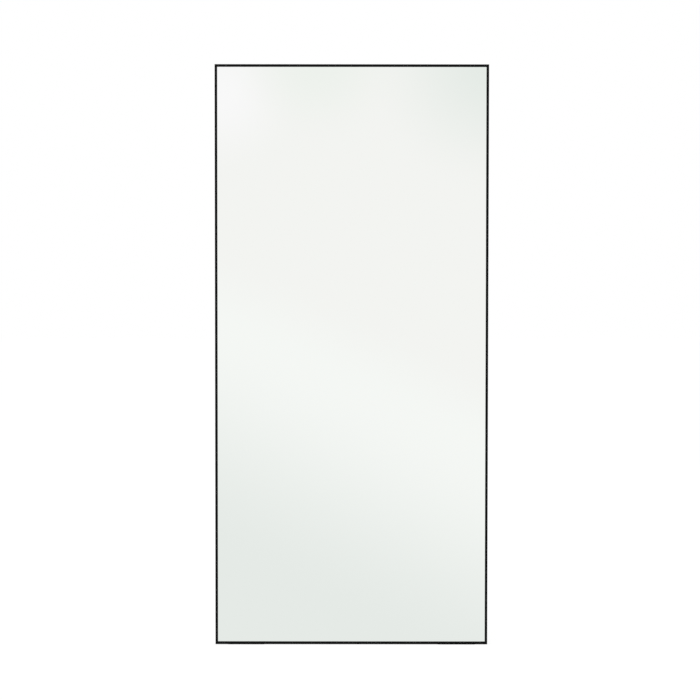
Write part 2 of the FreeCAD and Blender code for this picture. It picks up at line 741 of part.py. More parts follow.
def make_hangers():
    nut = make_nut("hanger_nut")
    screw = make_hanger_screw("hanger_screw")
    pieces = []
    nuts = []
    screws = []
    y, z = "rear_y + loop_radius", "top_z - hanger_drop"
    for side, sign in SIDES:
        x = f"{sign}(mirror_width / 2 - back_width / 2)"
        for make, label in ((make_strap, "hanger_strap_"), (make_ring, "hanging_ring_")):
            piece = make(label + side)
            place(piece, x, y, z)
            pieces.append(piece)
        nuts.append(copy_of(nut, "nut_" + side, x, y, z))
        on_strap = ("rear_y + 2 * strap_layer", f"{z} - strap_hole_drop")
        screws.append(copy_of(screw, "screw_" + side, x, *on_strap, laid_rearward=True))
    return [*pieces, group("hanger_nuts", nuts), group("hanger_screws", screws)]


# ---------------------------------------------------------------- bumpers and feet


def make_bumper(label):
    """A rubber bumper: a stem that is pushed into the slot, and a tapered head that bears on the rail. It is
    drawn standing on its stem."""
    body = new_body(label)
    half = new_sketch(body, label + "_half", "XZ")
    stem = "slot_width / 2 - bumper_play"
    corners = [
        ("0", "-stem_length"),
        (stem, "-stem_length"),
        (stem, "0"),
        ("bumper_diameter / 2", "0"),
        ("bumper_crown / 2", "bumper_height"),
        ("0", "bumper_height"),
    ]
    outline(half, corners)
    revolve(body, half)
    return body


def make_bumpers():
    bumper = make_bumper("bumper")
    bumpers = []
    for level, z in (("bottom", "bottom_z + back_width / 2"), ("top", "top_z - back_width / 2")):
        for side, sign in SIDES:
            x = f"{sign}(mirror_width / 2 - bumper_inset)"
            bumpers.append(copy_of(bumper, f"bumper_{side}_{level}", x, "rear_y", z, laid_rearward=True))
    return group("wall_bumpers", bumpers)


def make_pads():
    pads = []
    for side, sign in SIDES:
        body = new_body("foot_pad_" + side)
        plan = new_sketch(body, body.Name + "_plan", "XY")
        half = "pad_length / 2"
        corners = rectangle("-" + half, "pad_setback", half, "frame_depth - pad_setback")
        outline(plan, bevelled(corners, "pad_bevel"))
        pad(body, plan, "pad_thickness")
        place(body, f"{sign}(mirror_width / 2 - pad_inset)", "front_y", "0")
        pads.append(body)
    return pads


# ---------------------------------------------------------------- the whole mirror


def make_mirror():
    return [
        *make_rails(),
        make_tapes(),
        sheet_of("mirror_pane", "glass_front", "glass_thickness", "glass_edge", "glass_arris"),
        sheet_of("safety_film", "glass_rear", "film_thickness", "glass_edge + film_margin"),
        sheet_of("backing_board", "board_front", "board_thickness", "glass_edge"),
        *make_blocks(),
        make_spring_clips(),
        *make_corner_joints(),
        *make_hangers(),
        make_bumpers(),
        *make_pads(),
    ]


def check(parts):
    for thing in doc.Objects:
        if "Invalid" in thing.State or "Error" in thing.State:
            raise RuntimeError(f"{thing.Label} failed: {thing.State}")
    for thing in doc.findObjects("Sketcher::SketchObject"):
        if not thing.FullyConstrained:
            raise RuntimeError(f"{thing.Label} is not fully constrained")
    for part in parts:
        if part.Shape.isNull() or not part.Shape.isValid() or not part.Shape.Solids:
            raise RuntimeError(f"{part.Label} has no sound shape")


def main():
    parts = make_mirror()
    doc.recompute()
    check(parts)
    os.makedirs("parts", exist_ok=True)
    for part in parts:
        part.Shape.exportStep(f"parts/{part.Label}.step")
        solids = len(part.Shape.Solids)
        print(f"{part.Label}: {solids} solid{'s' * (solids > 1)}, {part.Shape.Volume / 1000:.2f} cm3")


main()
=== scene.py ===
# %% [markdown]
# # A leaning floor mirror
# A tall sheet of silvered glass sits in a slim black frame. The frame is four lengths of one aluminium
# section, cut at 45 degrees and joined at the corners. The solids come from the CAD model as a fixed
# frame, and this lesson gives them their looks: softer edges, finer small parts, and a finish for every
# surface.

import math

import bmesh
import bpy
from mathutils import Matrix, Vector


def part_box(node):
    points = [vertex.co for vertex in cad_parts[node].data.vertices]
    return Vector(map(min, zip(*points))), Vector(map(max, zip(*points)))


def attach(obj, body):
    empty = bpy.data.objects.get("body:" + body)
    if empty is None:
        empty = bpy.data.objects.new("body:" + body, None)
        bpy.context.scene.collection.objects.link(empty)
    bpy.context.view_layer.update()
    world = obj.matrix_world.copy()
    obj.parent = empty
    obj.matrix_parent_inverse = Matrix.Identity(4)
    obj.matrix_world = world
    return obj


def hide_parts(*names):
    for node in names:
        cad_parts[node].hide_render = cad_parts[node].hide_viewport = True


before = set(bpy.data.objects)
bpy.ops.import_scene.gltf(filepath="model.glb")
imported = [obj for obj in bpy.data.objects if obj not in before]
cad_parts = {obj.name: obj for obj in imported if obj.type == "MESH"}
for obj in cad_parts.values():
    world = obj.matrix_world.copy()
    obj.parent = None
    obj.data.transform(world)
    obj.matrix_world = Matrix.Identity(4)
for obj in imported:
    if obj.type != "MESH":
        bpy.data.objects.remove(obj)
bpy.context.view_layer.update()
scene = bpy.context.scene
print("nodes:", len(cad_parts))

# %% [markdown]
# ## Sizes
# The CAD model is in metres. Places are read from its nodes, so nothing here has to be fitted. The few
# sizes that a node's box can't give, such as the walls of the aluminium section, are written in
# millimetres. Points closer than the two small distances below are joined: the first while a shape is
# made, the second once it is done.

# %% Sizes
MM = 0.001
WELD, SAME_POINT = 1e-6, 1e-7
CUBIC_CM = 1e-6
rail_low, rail_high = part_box("rail_bottom")
top_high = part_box("rail_top")[1]
left_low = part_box("stile_left")[0]

width = rail_high.x - rail_low.x
height = top_high.z - rail_low.z
front = rail_low.y
depth = rail_high.y - rail_low.y
rear = front + depth
bottom = rail_low.z
middle = bottom + height / 2
band = rail_high.z - rail_low.z

print(f"frame {width:.3f} x {height:.3f} m, {depth * 1000:.0f} mm deep, rails {band * 1000:.0f} mm wide")

# %% [markdown]
# ## Small helpers for node trees
# Materials and Geometry Nodes are both trees of nodes. The first helper adds a node, sets its values and
# links its inputs. Two more start and end a Geometry Nodes tree, with one named input for each size. The
# rest give what several trees need: the result of one calculation, the place of each point, and a sheet
# pulled out into a closed slab.

# %% Node helpers
def add(tree, kind, inputs=None, **settings):
    """Adds a node. Each input is given by name or number, as a plain value or as another node's output."""
    made = tree.nodes.new(kind)
    for key, value in settings.items():
        setattr(made, key, value)
    for key, value in (inputs or {}).items():
        if isinstance(value, bpy.types.NodeSocket):
            tree.links.new(value, made.inputs[key])
        else:
            made.inputs[key].default_value = value
    return made


SOCKETS = {"length": "NodeSocketFloat", "count": "NodeSocketInt", "vector": "NodeSocketVector",
           "material": "NodeSocketMaterial"}


def new_tree(name, **inputs):
    """A Geometry Nodes tree with a geometry input and these named inputs. Gives the tree and its inputs."""
    tree = bpy.data.node_groups.new(name, "GeometryNodeTree")
    tree.interface.new_socket("Geometry", in_out="INPUT", socket_type="NodeSocketGeometry")
    for label, kind in inputs.items():
        tree.interface.new_socket(label, in_out="INPUT", socket_type=SOCKETS[kind])
    tree.interface.new_socket("Geometry", in_out="OUTPUT", socket_type="NodeSocketGeometry")
    return tree, tree.nodes.new("NodeGroupInput").outputs


def end_tree(tree, geometry, material):
    """Every tree ends in the same way: real geometry, smooth faces and one material."""
    real = add(tree, "GeometryNodeRealizeInstances", {"Geometry": geometry})
    smooth = add(tree, "GeometryNodeSetShadeSmooth", {"Geometry": real.outputs[0]})
    finish = add(tree, "GeometryNodeSetMaterial", {"Geometry": smooth.outputs[0], "Material": material})
    add(tree, "NodeGroupOutput", {0: finish.outputs[0]})


def result_of(tree, kind, *values):
    """A math node's result."""
    return add(tree, "ShaderNodeMath", dict(enumerate(values)), operation=kind).outputs[0]


def places_in(tree):
    """The X, Y and Z of each point."""
    spot = add(tree, "GeometryNodeInputPosition").outputs[0]
    return add(tree, "ShaderNodeSeparateXYZ", {0: spot}).outputs


def closed_slab(tree, sheet, pull):
    """Pulls a flat sheet out, and closes the side left open with the sheet itself, turned round."""
    pulled = add(tree, "GeometryNodeExtrudeMesh", {"Mesh": sheet, **pull, "Individual": False}, mode="FACES")
    turned = add(tree, "GeometryNodeFlipFaces", {"Mesh": sheet})
    both = add(tree, "GeometryNodeJoinGeometry")
    tree.links.new(turned.outputs[0], both.inputs[0])
    tree.links.new(pulled.outputs["Mesh"], both.inputs[0])
    inputs = {"Geometry": both.outputs[0], "Distance": WELD}
    return add(tree, "GeometryNodeMergeByDistance", inputs).outputs[0]


print("node helpers ready")

# %% [markdown]
# ## From a tree to a plain mesh
# The export wants plain meshes. A tree works inside a modifier, so each result is read back as a plain
# mesh, put in an object of its own, told which CAD body it rides on, and the CAD nodes that it stands for
# are hidden. Edges that turn by more than an angle are rounded by a bevel, or else drawn sharp.

# %% Piece helpers
ROUNDED_ABOVE, SHARP_ABOVE = math.radians(30), math.radians(40)


def object_of(name, data):
    """An object in the scene, for a mesh, a lamp or a camera."""
    made = bpy.data.objects.new(name, data)
    scene.collection.objects.link(made)
    return made


def grow(tree, mesh, **inputs):
    """Runs a tree on a mesh, with its named inputs set, and gives the result as a new plain mesh."""
    carrier = object_of("carrier", mesh)
    modifier = carrier.modifiers.new("tree", "NODES")
    modifier.node_group = tree
    names = {item.name: item.identifier for item in tree.interface.items_tree if item.in_out == "INPUT"}
    for label, value in inputs.items():
        modifier[names[label]] = value
    evaluated = carrier.evaluated_get(bpy.context.evaluated_depsgraph_get())
    result = bpy.data.meshes.new_from_object(evaluated)
    bpy.data.objects.remove(carrier)
    return result


def joined(name, *meshes):
    """Several meshes as one."""
    whole = bmesh.new()
    for mesh in meshes:
        whole.from_mesh(mesh)
    result = bpy.data.meshes.new(name)
    whole.to_mesh(result)
    whole.free()
    for material in meshes[0].materials:
        result.materials.append(material)
    return result


def soften(piece, size, segments):
    """Rounds a piece's sharp edges, as on every real one."""
    bevel = piece.modifiers.new("soft_edges", "BEVEL")
    bevel.width = size
    bevel.segments = segments
    bevel.limit_method = "ANGLE"
    bevel.angle_limit = ROUNDED_ABOVE
    bevel.harden_normals = True
    bevel.use_clamp_overlap = True


def finish_piece(name, mesh, nodes, body="mirror", edge=None, segments=2):
    """Makes a mesh a piece of the object: joined up, facing outwards, and riding on its body."""
    check = bmesh.new()
    check.from_mesh(mesh)
    bmesh.ops.remove_doubles(check, verts=check.verts, dist=SAME_POINT)
    bmesh.ops.recalc_face_normals(check, faces=check.faces)
    for face in check.faces:
        face.smooth = True
    open_edges = sum(not line.is_manifold for line in check.edges)
    volume = check.calc_volume(signed=True) / CUBIC_CM
    check.to_mesh(mesh)
    check.free()
    piece = object_of(name, mesh)
    if edge:
        soften(piece, edge, segments)
    else:
        mesh.set_sharp_from_angle(angle=SHARP_ABOVE)
    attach(piece, body)
    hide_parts(*nodes)
    print(f"{name}: {len(mesh.polygons)} faces, {volume:.2f} cm3, {open_edges} open edges")
    return piece


print("piece helpers ready")

# %% [markdown]
# ## Finishes
# Each finish is a Principled shader fed by textures on Object coordinates. These are in metres, so a
# noise of scale 1000 has features about a millimetre across, and the grain keeps its real size on every
# piece.

# %% A base for all finishes
def new_finish(name, base, roughness, metallic=0.0, specular=0.5):
    """Makes an even material. Gives it, its tree, its Principled node and its Object coordinates."""
    material = bpy.data.materials.new(name)
    material.use_nodes = True
    tree = material.node_tree
    shader = tree.nodes["Principled BSDF"]
    shader.inputs["Base Color"].default_value = (*base, 1)
    shader.inputs["Roughness"].default_value = roughness
    shader.inputs["Metallic"].default_value = metallic
    shader.inputs["Specular IOR Level"].default_value = specular
    material.diffuse_color = (*base, 1)
    place = add(tree, "ShaderNodeTexCoord").outputs["Object"]
    return material, tree, shader, place


def noise(tree, place, scale, detail=3.0, stretch=(1, 1, 1)):
    """Noise with its size in features to the metre. Stretch lengthens or shortens them along each axis."""
    mapped = add(tree, "ShaderNodeMapping", {"Vector": place, "Scale": stretch}).outputs[0]
    return add(tree, "ShaderNodeTexNoise", {"Vector": mapped, "Scale": scale, "Detail": detail}).outputs[0]


def spread(tree, value, low, high, start=0.3, stop=0.7, **settings):
    """Maps what lies between start and stop, where noise mostly lies, to a range of values."""
    inputs = {"Value": value, "From Min": start, "From Max": stop, "To Min": low, "To Max": high}
    return add(tree, "ShaderNodeMapRange", inputs, **settings).outputs[0]


def blend_of(tree, factor, first, second):
    """A colour between two. The first may also be another node's output."""
    if not isinstance(first, bpy.types.NodeSocket):
        first = (*first, 1)
    inputs = {"Factor": factor, 6: first, 7: (*second, 1)}
    return add(tree, "ShaderNodeMix", inputs, data_type="RGBA").outputs[2]


def relief(tree, shader, value, size, below=None):
    """Raises the surface by up to that size, in metres."""
    inputs = {"Height": value, "Distance": size, "Strength": 1.0}
    if below is not None:
        inputs["Normal"] = below
    bump = add(tree, "ShaderNodeBump", inputs)
    tree.links.new(bump.outputs[0], shader.inputs["Normal"])
    return bump.outputs[0]


print("finish helpers ready")

# %% [markdown]
# ### Black powder coat
# The frame's black is a baked powder. It levels into a skin with a fine grain and a slight orange peel,
# so highlights break up softly. The colour is nearly black, with the faintest variation, because a
# perfectly even black looks like a hole in the picture.

# %% Black powder coat
powder_black, tree, shader, place = new_finish("powder_black", (0.0030, 0.0030, 0.0032), 0.44, specular=0.06)
grain = noise(tree, place, 2600, detail=2)
peel = noise(tree, place, 420, detail=2)
clouds = noise(tree, place, 9, detail=4)
tree.links.new(spread(tree, clouds, 0.39, 0.48), shader.inputs["Roughness"])
tone = blend_of(tree, spread(tree, grain, 0, 1), (0.0024, 0.0024, 0.0026), (0.0036, 0.0036, 0.0038))
tree.links.new(tone, shader.inputs["Base Color"])
orange_peel = relief(tree, shader, peel, 0.012 * MM)
relief(tree, shader, grain, 0.007 * MM, below=orange_peel)
print(powder_black.name)

# %% [markdown]
# ### Silvered glass
# A mirror is glass with silver behind it. Seen as one surface it is a metal with no roughness, and its
# tint is that of the float glass that the light crosses twice: slightly green. The ground edges show that
# green far more strongly, and the back is a coat of grey paint over the silver.

# %% Silvered glass
silver, tree, shader, place = new_finish("silvered_glass", (0.942, 0.962, 0.942), 0.0, metallic=1.0)
wave = noise(tree, place, 5, detail=0)
relief(tree, shader, wave, 0.002 * MM)

glass_edge, tree, shader, place = new_finish("ground_glass_edge", (0.20, 0.42, 0.34), 0.28)
tree.links.new(spread(tree, noise(tree, place, 1500), 0.2, 0.4), shader.inputs["Roughness"])
relief(tree, shader, noise(tree, place, 2200), 0.01 * MM)

silver_back, tree, shader, place = new_finish("silver_backing_paint", (0.30, 0.32, 0.33), 0.55)
tree.links.new(spread(tree, noise(tree, place, 60), 0.48, 0.62), shader.inputs["Roughness"])
print(silver.name, glass_edge.name, silver_back.name)

# %% [markdown]
# ### Hardboard
# The board behind the glass is pressed wood fibre. Its colour drifts a little over a hand's width or
# more. Over that lie shorter and longer fibres, matted every way, so their noise is warped until no
# direction wins. Last comes a scatter of dark flecks of bark. The fibres also raise the surface a little.

# %% Hardboard
pressed_board, tree, shader, place = new_finish("pressed_hardboard", (0.27, 0.16, 0.09), 0.74, specular=0.35)
drift = noise(tree, place, 3, detail=6)
short = {"Vector": place, "Scale": 420, "Detail": 6, "Roughness": 0.62, "Distortion": 3.2}
long = {"Vector": place, "Scale": 150, "Detail": 3, "Roughness": 0.5, "Distortion": 6.0}
mat, strands = (add(tree, "ShaderNodeTexNoise", warped).outputs[0] for warped in (short, long))
fibres = result_of(tree, "MULTIPLY", result_of(tree, "ADD", mat, strands), 0.5)
board_tone = blend_of(tree, spread(tree, drift, 0, 1, 0.35, 0.65),
                      (0.238, 0.137, 0.074), (0.286, 0.171, 0.096))
fleck = spread(tree, noise(tree, place, 520, detail=1, stretch=(2.2, 1, 1)), 1.0, 0.0, 0.26, 0.34)
flecked = blend_of(tree, result_of(tree, "MULTIPLY", fleck, 0.5), board_tone, (0.09, 0.05, 0.027))
fine = spread(tree, fibres, 0.76, 1.2, 0.36, 0.64)
toned = add(tree, "ShaderNodeVectorMath", {0: flecked, "Scale": fine}, operation="SCALE")
tree.links.new(toned.outputs[0], shader.inputs["Base Color"])
tree.links.new(spread(tree, fibres, 0.66, 0.82), shader.inputs["Roughness"])
relief(tree, shader, fibres, 0.06 * MM)
print(pressed_board.name)

# %% [markdown]
# ### Plated, sprung and blackened steel
# Zinc plate is pale and a little cloudy, with a blue cast. Spring steel is darker, with fine upright
# rolling lines. The set screws are blackened. All three are metals, so their colour is that of their
# reflection.

# %% Steels
def steel(name, base, low, high, cloud_scale, stretch=(1, 1, 1)):
    """A metal whose roughness runs between two values in clouds, with a fine grain."""
    material, tree, shader, place = new_finish(name, base, (low + high) / 2, metallic=1.0)
    clouds = noise(tree, place, cloud_scale, detail=4)
    grain = noise(tree, place, 1800, detail=2, stretch=stretch)
    tree.links.new(spread(tree, clouds, low, high), shader.inputs["Roughness"])
    darker = tuple(channel * 0.84 for channel in base)
    tree.links.new(blend_of(tree, spread(tree, clouds, 0, 1), darker, base), shader.inputs["Base Color"])
    relief(tree, shader, grain, 0.006 * MM)
    return material


zinc = steel("zinc_plate", (0.68, 0.70, 0.73), 0.22, 0.38, 260)
spring = steel("rolled_spring_steel", (0.46, 0.47, 0.50), 0.24, 0.34, 90, stretch=(1, 1, 0.08))
blackened = steel("blackened_steel", (0.075, 0.075, 0.08), 0.30, 0.44, 700)
print(zinc.name, spring.name, blackened.name)

# %% [markdown]
# ### Rubber, foam and film
# Rubber is matte black with a dusty grain. The glazing tape is foam, so its pits are much deeper. The
# safety film behind the glass is a grey plastic with a woven backing.

# %% Rubber, foam and film
rubber, tree, shader, place = new_finish("matte_rubber", (0.022, 0.022, 0.023), 0.82, specular=0.3)
dust = noise(tree, place, 2400, detail=3)
tree.links.new(blend_of(tree, spread(tree, dust, 0, 1), (0.018, 0.018, 0.019), (0.028, 0.028, 0.030)),
               shader.inputs["Base Color"])
tree.links.new(spread(tree, dust, 0.76, 0.88), shader.inputs["Roughness"])
relief(tree, shader, dust, 0.01 * MM)

# This black foam finish also gives the mirror pane's rim its painted shade.
foam_and_rim_shade, tree, shader, place = new_finish("foam_strip_and_rim_shade", (0.016, 0.016, 0.017), 0.95, specular=0.2)
pits = add(tree, "ShaderNodeTexVoronoi", {"Vector": place, "Scale": 2600}).outputs["Distance"]
relief(tree, shader, pits, 0.1 * MM)

film, tree, shader, place = new_finish("woven_film", (0.46, 0.47, 0.48), 0.5)
threads = [add(tree, "ShaderNodeTexWave", {"Vector": place, "Scale": 260}, bands_direction=way).outputs[1]
           for way in ("X", "Z")]
relief(tree, shader, result_of(tree, "ADD", *threads), 0.03 * MM)
print(rubber.name, foam_and_rim_shade.name, film.name)

# %% [markdown]
# ## The four rails
# Every rail is the same extruded section, cut to length at 45 degrees. That is a rule, so one Geometry
# Nodes tree makes all four: it pulls the flat section out to the rail's length, slants both ends by as
# much as each point lies inward of the outer face, then turns and places the rail. A bevel rounds the
# edges afterwards, which also leaves the hairline groove that shows at a real mitre.

# %% The aluminium section
wall = 1.6 * MM
lip = 7 * MM
slot_width = 10 * MM
channel_front = 12.15 * MM
channel_back = channel_front + wall
slot_low, slot_high = (band - slot_width) / 2, (band + slot_width) / 2

section_points = [
    (0, 0), (depth, 0), (depth, slot_low), (depth - wall, slot_low), (depth - wall, wall),
    (channel_back, wall), (channel_back, band - wall), (depth - wall, band - wall), (depth - wall, slot_high),
    (depth, slot_high), (depth, band), (channel_front, band), (channel_front, wall), (wall, wall),
    (wall, lip), (0, lip),
]


def flat_section(points):
    """The section as one flat face across the rail, facing along it."""
    flat = bmesh.new()
    corners = [flat.verts.new((0, y, z)) for y, z in points]
    face = flat.faces.new(corners)
    face.normal_update()
    if face.normal.x < 0:
        face.normal_flip()
    mesh = bpy.data.meshes.new("rail_section")
    flat.to_mesh(mesh)
    flat.free()
    return mesh


print(len(section_points), "corners in the section")

# %% The rail tree
rail_tree, given = new_tree("mitred_rail", Length="length", Turn="vector", Place="vector", Finish="material")
closed = closed_slab(rail_tree, given["Geometry"], {"Offset Scale": given["Length"]})

at = places_in(rail_tree)
half_length = result_of(rail_tree, "MULTIPLY", given["Length"], 0.5)
from_middle = result_of(rail_tree, "SUBTRACT", at["X"], half_length)
slant = result_of(rail_tree, "SUBTRACT", 1.0, result_of(rail_tree, "DIVIDE", at["Z"], half_length))
along = result_of(rail_tree, "MULTIPLY", from_middle, slant)
mitred_place = add(rail_tree, "ShaderNodeCombineXYZ", {"X": along, "Y": at["Y"], "Z": at["Z"]})
mitred = add(rail_tree, "GeometryNodeSetPosition",
             {"Geometry": closed, "Position": mitred_place.outputs[0]})
placed = add(rail_tree, "GeometryNodeTransform",
             {"Geometry": mitred.outputs[0], "Translation": given["Place"], "Rotation": given["Turn"]})
end_tree(rail_tree, placed.outputs[0], given["Finish"])
print(rail_tree.name, len(rail_tree.nodes), "nodes")

# %% Grow the rails
RAILS = {
    "rail_bottom": (width, 0, (0, front, bottom)),
    "rail_top": (width, 180, (0, front, bottom + height)),
    "stile_left": (height, 90, (-width / 2, front, middle)),
    "stile_right": (height, -90, (width / 2, front, middle)),
}
for node, (length, turn, spot) in RAILS.items():
    mesh = grow(rail_tree, flat_section(section_points), Length=length, Turn=(0, math.radians(turn), 0),
                Place=spot, Finish=powder_black)
    finish_piece(node + "_coated", mesh, [node], edge=0.42 * MM, segments=3)

# %% [markdown]
# ## The mirror pane
# The silver lies behind the glass, so the frame's lip stands a little off its own reflection. Real clear
# glass over a mirror would need many more light bounces. Here the shiny face is set into the slab
# instead, as deep as the silver looks to the eye: the glass's thickness over its refractive index. A rim
# round it fills what the tape covers. The faces then get four finishes: silver, black in the shaded rim,
# green glass on the ground edge and grey paint behind.

# %% The mirror pane
glass_thickness, refraction = 4 * MM, 1.52
silver_depth = glass_thickness / refraction
tape_setback = 0.6 * MM
rim = lip - tape_setback - (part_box("mirror_pane")[0].x - left_low.x)
SILVER, RIM, EDGE, BACK = range(4)
RIM_BANDS = 2


def pane_mesh(low, high, chamfer):
    """A slab with ground chamfers, and with its shiny face set in behind a rim."""
    slab = bmesh.new()
    levels = [(low.y + silver_depth, rim), (low.y, rim), (low.y, chamfer), (low.y + chamfer, 0),
              (high.y - chamfer, 0), (high.y, chamfer)]
    rings = []
    for y, inset in levels:
        left, right, down, up = low.x + inset, high.x - inset, low.z + inset, high.z - inset
        spots = ((left, y, down), (right, y, down), (right, y, up), (left, y, up))
        rings.append([slab.verts.new(spot) for spot in spots])
    for level, (first, second) in enumerate(zip(rings, rings[1:])):
        for i in range(4):
            j = (i + 1) % 4
            side = slab.faces.new((first[i], first[j], second[j], second[i]))
            side.material_index = RIM if level < RIM_BANDS else EDGE
    slab.faces.new(rings[0]).material_index = SILVER
    slab.faces.new(rings[-1]).material_index = BACK
    bmesh.ops.recalc_face_normals(slab, faces=slab.faces)
    mesh = bpy.data.meshes.new("pane")
    slab.to_mesh(mesh)
    slab.free()
    return mesh


mesh = pane_mesh(*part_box("mirror_pane"), chamfer=0.5 * MM)
# The rim faces take the black foam finish as painted shade.
for material in (silver, foam_and_rim_shade, glass_edge, silver_back):
    mesh.materials.append(material)
pane = finish_piece("mirror_pane_silvered", mesh, ["mirror_pane"])
for face in pane.data.polygons:
    face.use_smooth = False
print(f"silver {silver_depth * 1000:.1f} mm deep, rim {rim * 1000:.1f} mm wide")

# %% [markdown]
# ## Copies in rows and columns
# Screws, clips and bumpers repeat on a grid that follows the frame. One tree puts a copy of whatever mesh
# it is given on each point of a grid of so many columns and rows. A grid is drawn lying down, and a turn
# stands it up.

# %% The grid tree
STAND_UP = (math.radians(90), 0, 0)
grid_tree, given = new_tree("copies_on_a_grid", Columns="count", Rows="count", Width="length",
                            Height="length", Place="vector", Turn="vector", Finish="material")
points = add(grid_tree, "GeometryNodeMeshGrid",
             {"Size X": given["Width"], "Size Y": given["Height"],
              "Vertices X": given["Columns"], "Vertices Y": given["Rows"]})
upright = add(grid_tree, "GeometryNodeTransform",
              {"Geometry": points.outputs["Mesh"], "Translation": given["Place"], "Rotation": STAND_UP})
copies = add(grid_tree, "GeometryNodeInstanceOnPoints",
             {"Points": upright.outputs[0], "Instance": given["Geometry"], "Rotation": given["Turn"]})
end_tree(grid_tree, copies.outputs[0], given["Finish"])
print(grid_tree.name, len(grid_tree.nodes), "nodes")

# %% [markdown]
# ## Turned parts
# Screws and bumpers are round, so each is a stack of rings skinned together. A ring's radius may change
# with the angle, which gives a hexagon socket and a real thread with no extra work. A thread's groove is
# about half a pitch deep, with sloping flanks and a narrow crest.

# %% Rings, hexagons and threads
SEGMENTS = 36
RINGS_PER_TURN = 5
GROOVE_DEPTH, FLANK = 0.55, 2.2


def ring_stack(name, rings):
    """Skins rings from the first to the last. A ring is (radius, height), and its radius may be a function of
    the angle. Both ends are closed."""
    stack = bmesh.new()
    loops = []
    for radius, level in rings:
        loop = []
        for i in range(SEGMENTS):
            angle = 2 * math.pi * i / SEGMENTS
            size = radius(angle) if callable(radius) else radius
            loop.append(stack.verts.new((size * math.cos(angle), size * math.sin(angle), level)))
        loops.append(loop)
    for first, second in zip(loops, loops[1:]):
        for i in range(SEGMENTS):
            j = (i + 1) % SEGMENTS
            stack.faces.new((first[i], first[j], second[j], second[i]))
    stack.faces.new(loops[0])
    stack.faces.new(loops[-1])
    bmesh.ops.recalc_face_normals(stack, faces=stack.faces)
    mesh = bpy.data.meshes.new(name)
    stack.to_mesh(mesh)
    stack.free()
    return mesh


def hexagon(across):
    """The radius of a hexagon at each angle."""
    sixth = math.pi / 3
    return lambda angle: across / 2 / math.cos((angle + sixth / 2) % sixth - sixth / 2)


def thread(major, pitch, low, high):
    """Rings of a thread between two heights: the groove climbs by one pitch in each turn."""
    minor = major - GROOVE_DEPTH * pitch
    steps = max(2, round((high - low) / (pitch / RINGS_PER_TURN)))

    def radius_at(level):
        def radius(angle):
            phase = (level / pitch - angle / (2 * math.pi)) % 1
            return minor + (major - minor) * min(1, FLANK * min(phase, 1 - phase))
        return radius

    levels = [low + (high - low) * i / steps for i in range(steps + 1)]
    return [(radius_at(level), level) for level in levels]


print("a hexagon 3 mm across has corners at", round(hexagon(3)(math.pi / 6), 2), "mm")

# %% [markdown]
# ### Corner set screws
# Two set screws in each corner angle jack it against the rear lips of the channel. Their front ends press
# on a thin steel shim, so that they don't dent the aluminium. They are threaded all the way, with a
# hexagon socket in the end that faces the back.

# %% Corner set screws
screws_low, screws_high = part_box("corner_set_screws")
screw_length = screws_high.y - screws_low.y
screw_radius, pitch = 2.5 * MM, 0.8 * MM
socket = hexagon(2.5 * MM)
rings = [(screw_radius * 0.7, 0), (screw_radius * 0.86, 0.3 * MM)]
rings += thread(screw_radius, pitch, 0.5 * MM, screw_length - 0.35 * MM)
rings += [(screw_radius * 0.84, screw_length - 0.05 * MM), (screw_radius * 0.78, screw_length)]
rings += [(socket, screw_length), (socket, screw_length - 2.5 * MM), (0.2 * MM, screw_length - 2.9 * MM)]
set_screw = ring_stack("set_screw", rings)

screw_inset = 35 * MM
rearward = (math.radians(-90), 0, 0)
near = band / 2
on_legs = [
    grow(grid_tree, set_screw.copy(), Columns=2, Rows=2, Width=width - 2 * across, Height=height - 2 * up,
         Place=(0, screws_low.y, middle), Turn=rearward, Finish=blackened)
    for across, up in ((screw_inset, near), (near, screw_inset))
]
finish_piece("corner_set_screws_threaded", joined("set_screws", *on_legs), ["corner_set_screws"])

# %% [markdown]
# ### Hanger screws
# A button head screw holds each hanger. Its head is a low dome with a rounded rim and a hexagon socket.
# Under it is a plain neck, and then the same thread as on the set screws, which runs into the nut in the
# channel.

# %% Hanger screws
screws_low, screws_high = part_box("hanger_screws")
head_radius = (screws_high.z - screws_low.z) / 2
head_height, rim_height, neck = 2.75 * MM, 0.35 * MM, 3 * MM
shank = screws_high.y - screws_low.y - head_height
dome = [(head_radius * math.cos(math.radians(rise)),
         rim_height + (head_height - rim_height) * math.sin(math.radians(rise)))
        for rise in (0, 10, 20, 32, 44, 56)]
socket = hexagon(3 * MM)
rings = [(1.7 * MM, -shank), (2.2 * MM, -shank + 0.4 * MM)]
rings += thread(screw_radius, pitch, -shank + 0.6 * MM, -neck - 0.2 * MM)
rings += [(2.48 * MM, -neck), (2.48 * MM, 0), (head_radius * 0.96, 0), (head_radius, 0.12 * MM)]
rings += dome
rings += [(2.2 * MM, head_height - 0.02 * MM), (1.95 * MM, head_height), (socket, head_height - 0.15 * MM)]
rings += [(socket, head_height - 1.6 * MM), (0.2 * MM, head_height - 2.0 * MM)]
strap_low, strap_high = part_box("hanger_strap_right")
hanger_x = (strap_low.x + strap_high.x) / 2
centre = Vector((0, screws_high.y - head_height, (screws_low.z + screws_high.z) / 2))
mesh = grow(grid_tree, ring_stack("hanger_screw", rings), Columns=2, Rows=1, Width=2 * hanger_x, Height=0.0,
            Place=centre, Turn=rearward, Finish=zinc)
finish_piece("hanger_screws_domed", mesh, ["hanger_screws"])

# %% [markdown]
# ### Wall bumpers
# A bumper is moulded rubber: a stem that pushes into the slot, and a tapered head with soft edges and a
# shallow dish in its end, which grips the wall. Its profile is three runs of points, each a radius and a
# level in millimetres. The skirt's levels start at the frame's rear face, and the others start at the
# bumper's end.

